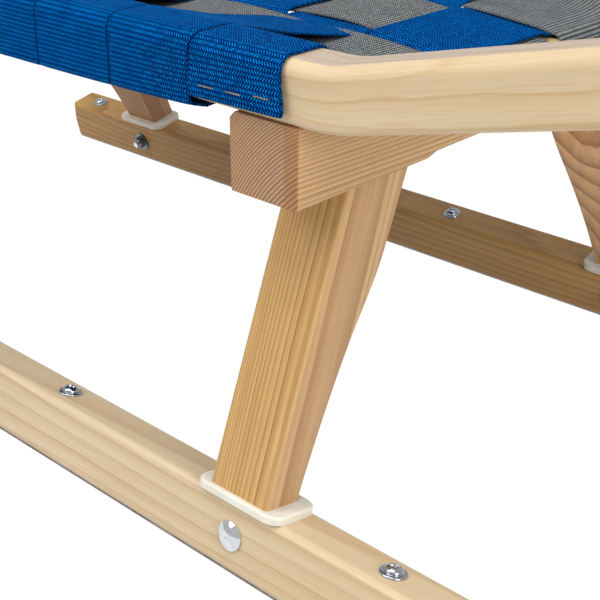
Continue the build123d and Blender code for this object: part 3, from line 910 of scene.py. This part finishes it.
weave = {
    "stitch": 0.0017, "lean": 1.15,        # spacing of the stitches, and their slant over a cord
    "wobble": (0.36, 0.16),         # how far stitches and cords stray, as a share of their spacing
    "gapLong": 0.5, "gapShorter": 0.06, "gapSoft": 0.26,      # half length of a gap, as a share of a cord
    "gapWide": (0.14, 0.34),        # from its full depth to its edge, as a share of a stitch
    "lowCord": 0.14, "base": 0.45,
    "furrow": (0.1, 0.75), "rim": (0.955, 1.0), "fuzz": (90.0, 90.0, 1.0),
}


def webbingWeaveGroup():
    # Cords lie across the band, one tall and one low in turn. Between the stitches over them are slanting
    # gaps, longer on a tall cord, that lean one way on one cord and the other way on the next.
    group, given, out = newGroup(
        "webbingWeave", "Across Along Cord Half Furrow Pierce", "Height Dark Edge Fuzz Each")
    place = joinVector(given["Across"], given["Along"], 0.0)
    stray = splitVector(noise(place, 300.0, 1.0, 0.5, None, "Color"))
    stray = [times(minus(stray[i], 0.5), weave["wobble"][i]) for i in (0, 1)]
    rows = plus(over(given["Along"], given["Cord"]), stray[1])
    row = calc("FLOOR", rows)
    part = minus(calc("FRACT", rows), 0.5)
    low = calc("MODULO", calc("ABSOLUTE", row), 2.0)
    way = minus(times(low, 2.0), 1.0)
    leant = times(times(part, way), weave["lean"])
    lanes = plus(plus(over(given["Across"], weave["stitch"]), leant), stray[0])
    stitch = calc("ABSOLUTE", minus(calc("FRACT", lanes), 0.5))
    reach = minus(weave["gapLong"], times(low, weave["gapShorter"]))
    full = minus(reach, weave["gapSoft"])
    inRow = remap(calc("ABSOLUTE", part), full, reach, 1.0, 0.0)
    inLane = remap(stitch, *weave["gapWide"], 1.0, 0.0)
    gap = times(times(inRow, inLane), given["Pierce"])
    cord = calc("COSINE", times(part, pi))                 # 1 on the top of a cord
    cord = times(cord, minus(1.0, times(low, weave["lowCord"])))
    height = plus(weave["base"], times(cord, 1 - weave["base"]))
    furrow = times(remap(cord, *weave["furrow"], 1.0, 0.0), given["Furrow"])
    rim = over(calc("ABSOLUTE", given["Across"]), given["Half"])
    number = joinVector(calc("FLOOR", plus(lanes, 0.5)), row, 0.0)
    fill(out, {
        "Height": times(height, minus(1.0, gap)),
        # the holes between stitches and the furrows between cords: painted shade
        "Dark": calc("MAXIMUM", gap, furrow),
        "Edge": remap(rim, *weave["rim"]),
        "Fuzz": noise(place, 1.0, 3.0, 0.6, weave["fuzz"]),
        "Each": anyValue(number, "Vector", "2D"),
    })
    return group


webbingWeave = webbingWeaveGroup()
# gap is near-black painted shade for the holes between stitches and the furrows between cords; furrow and
# pierce say how strongly each takes it
webbingLooks = {
    # the cord-top colour of each webbing is a painted highlight
    "blueWebbing": {
        "thread": (0.0, 0.06, 0.31), "paintedHighlight": (0.0, 0.33, 1.0), "gap": (0.0, 0.001, 0.012),
        "rim": (0.0, 0.11, 0.42), "furrow": 0.65, "pierce": 1.0,
        "rough": (0.42, 0.6), "specular": 0.005, "tint": (0.0, 0.5, 1.0, 1.0), "metal": 0.3,
    },
    "greyWebbing": {
        "thread": (0.15, 0.166, 0.174), "paintedHighlight": (0.52, 0.545, 0.55), "gap": (0.004, 0.005, 0.006),
        "rim": (0.22, 0.24, 0.25), "furrow": 0.95, "pierce": 0.7,
        "rough": (0.5, 0.65), "specular": 0.1, "tint": (0.9, 0.95, 1.0, 1.0), "metal": 0.0,
    },
}


def makeWebbing(band):
    look = webbingLooks[band["finish"]]
    material, tree, shader = newMaterial(band["finish"])
    across, along = splitVector(put(tree, "ShaderNodeUVMap", uv_map="bandUV").outputs["UV"])[:2]
    half, cord = band["width"] / 2 * mm, band["cord"] * mm
    cloth = useGroup(webbingWeave, Across=across, Along=along, Half=half, Cord=cord,
                     Furrow=look["furrow"], Pierce=look["pierce"])
    height = cloth["Height"]
    # the tops of the cords take a lighter colour, varied stitch by stitch: a painted highlight
    each = remap(cloth["Each"], 0.0, 1.0, 0.35, 1.0, False)
    paintedHighlight = times(remap(height, 0.5, 0.95), each)
    colour = blend(paintedHighlight, look["thread"], look["paintedHighlight"])
    colour = blend(cloth["Edge"], colour, look["rim"])
    # the holes and furrows go near black: painted shade
    colour = blend(cloth["Dark"], colour, look["gap"])
    smoothest, roughest = look["rough"]
    fill(shader, {
        "Base Color": scaleColour(colour, remap(cloth["Fuzz"], 0.3, 0.7, 0.86, 1.1, False)),
        "Roughness": remap(height, 0.3, 1.0, roughest, smoothest, False),
        "Specular IOR Level": look["specular"],
        "Specular Tint": look["tint"],
        "Metallic": look["metal"],
    })
    addBump(shader, height, 1.0, 0.0008)
    return material


webbings = {band["finish"]: makeWebbing(band) for band in (crossBand, longBand)}


def dressBand(piece, length, look, node):
    piece.data.materials.append(webbings[look["finish"]])
    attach(piece, "root")
    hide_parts(node)


for k in range(crossBand["count"]):
    dressBand(*makeCrossBand(k), crossBand, f"cross_band_{k + 1}")
for j in range(longBand["count"]):
    dressBand(*makeLongBand(j), longBand, f"long_band_{j + 1}")
print("webbing woven:", crossBand["count"] + longBand["count"], "bands")


# ---- staples ----
staple = {
    "wide": 9.8, "leg": 4.0, "wire": (0.65, 0.6), "bend": 0.7,
    # along a hem from the middle of the band, and above the hem's lower edge
    "hemPlaces": ((-15.9, 6.6), (1.9, 6.75), (19.9, 7.8)),
    # out from the band's plain face at 6 mm up, and how much less for each mm above that
    "hemOut": 2.9, "hemLean": 0.22, "hemUp": 6.0,
    "tuckPlaces": (-20.0, 0.0, 20.0), "tuckIn": 16.0, "tuckLow": 1.6,
    "longPlaces": (-22.0, 0.0, 22.0), "longUp": 5.0, "longOut": 0.3,
}


def stapleShape():
    # A flat wire along a square U. The crown lies along the first axis, the legs run down the third, and
    # the wire is wide along the second. Its section is a squarish ring.
    s = staple
    half = s["wide"] / 2
    corners = [np.array([p]) for p in ((-half, -s["leg"]), (-half, 0.0), (half, 0.0), (half, -s["leg"]))]
    line = roundedPath(corners, [s["bend"], s["bend"]], 4)[:, 0][::4]
    along = unit(np.gradient(line, axis=0))
    normal = columns(-along[:, 1], along[:, 0])
    angle = np.arange(8) * pi / 4 + pi / 8
    wide, high = (np.sign(v) * np.abs(v) ** 0.5 * wire / 2
                  for v, wire in zip((np.cos(angle), np.sin(angle)), s["wire"]))
    place = line[:, None] + normal[:, None] * high[None, :, None]
    return closedTube(columns(place[:, :, 0], wide, place[:, :, 1]))


def staplePlaces():
    # each staple's middle, the way its crown lies and the way it faces
    s, b = staple, crossBand
    places = []
    outside = seat["railOutside"] + b["gap"] + b["thick"]
    under = seat["railBottom"] - b["gap"] - b["thick"] - s["tuckLow"]
    for k, x in enumerate(crossMiddles):
        for sign in (-1, 1):
            if k in hemBands:
                for d, up in s["hemPlaces"]:
                    low = seat["crossbarTop"] + b["end"] + b["endTilt"] * 2 * d / b["width"]
                    out = outside + s["hemOut"] - s["hemLean"] * (up - s["hemUp"])
                    places.append(((x + d, sign * out, low + up), (1, 0, 0), (0, sign, 0)))
            else:
                for d in s["tuckPlaces"]:
                    place = (x + d, sign * (outside - s["tuckIn"]), under)
                    places.append((place, (1, 0, 0), (0, 0, -1)))
    face = seat["crossbarHalf"] + longBand["gap"] + longBand["thick"] + s["longOut"]
    up = seat["crossbarTop"] - longBand["drop"] + s["longUp"]
    for y in longMiddles:
        for x, sign in ((trestleX, 1), (trestleX - trestleSpacing, -1)):
            for d in s["longPlaces"]:
                places.append(((x + sign * face, y + d, up), (0, 1, 0), (sign, 0, 0)))
    return places


def makeStaples():
    points, faces = stapleShape()
    shapes = []
    for middle, crown, out in staplePlaces():
        crown, out = np.array(crown, float), np.array(out, float)
        shapes.append((np.array(middle) + points @ np.stack([crown, np.cross(out, crown), out]), faces))
    piece = joinShapes("staples", shapes)
    piece.data.materials.append(metals["stapleWire"])
    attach(piece, "root")


# ---- screws ----
screw = {
    "places": (-616.5, -410.0, -159.2, 92.2),      # from the front trestle
    "washer": 7.25, "washerThick": 1.2, "head": 5.0, "headHigh": 3.2, "headWall": 0.9,
    "shank": 2.5, "length": 30.0, "point": 4.0,
    "dome": (2.6, 0.75),        # the powers that shape it
    "slot": 0.75, "slotSoft": 0.35, "slotReach": 2.7, "slotEnd": 0.6, "slotDeep": 1.5, "slotOut": 4.2,
    "turns": (0.5, 1.1, 0.2, 0.8), "around": 56,
}
runnerTop = {"y": 195.63, "z": 43.89}              # the middle of a runner's top


def screwShape(turn):
    # turned from the middle of the domed head out over the washer and down the shank, with a driver's
    # cross pressed into the dome: two slots whose floor rises to nothing at their ends
    s = screw
    thick, head, washer, wall = s["washerThick"], s["head"], s["washer"], s["headWall"]
    flat, full = s["dome"]
    steps = np.linspace(0, 1, 15)[1:]
    dome = [(head * t, thick + wall + (s["headHigh"] - wall) * (1 - t ** flat) ** full) for t in steps]
    profile = np.array(
        [(0.02, thick + s["headHigh"])] + dome
        + [(head, thick + 0.3), (head - 0.2, thick + 0.02), (head + 0.5, thick - 0.02)]
        + [(washer - 0.9, thick + 0.05), (washer - 0.35, thick - 0.1), (washer, thick - 0.5)]
        + [(washer, 0.25), (washer - 0.15, 0.02), (s["shank"], 0.0)]
        + [(s["shank"], s["point"] - s["length"]), (0.02, -s["length"])]
    )
    angle = np.arange(s["around"]) * 2 * pi / s["around"]
    r, z = profile[:, 0][:, None], profile[:, 1][:, None]
    x, y = r * np.cos(angle), r * np.sin(angle)
    u, v = x * cos(turn) + y * sin(turn), -x * sin(turn) + y * cos(turn)
    near = smooth((s["slot"] - np.minimum(np.abs(u), np.abs(v))) / s["slotSoft"])
    near = near * smooth((s["slotReach"] - r) / s["slotEnd"])
    z = z - np.where(z > thick + 1, s["slotDeep"] * (1 - r / s["slotOut"]) * near, 0)
    return closedTube(columns(x, y, z))


def makeScrews(side, sign):
    up = np.array([0, -sign * sin(runner["cant"]), cos(runner["cant"])])
    axes = np.stack([np.array([1.0, 0, 0]), np.cross(up, [1.0, 0, 0]), up])
    shapes = []
    for x, turn in zip(screw["places"], screw["turns"]):
        points, faces = screwShape(turn)
        middle = np.array([trestleX + x, sign * runnerTop["y"], runnerTop["z"]])
        shapes.append((middle + points @ axes, faces))
    piece = joinShapes(f"runnerScrews{side.capitalize()}", shapes)
    piece.data.materials.append(metals["screwZinc"])
    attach(piece, "root")
    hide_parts(f"runner_screws_{side}")


for side, sign in sides:
    makeScrews(side, -sign)
makeStaples()
print("screws and staples driven")
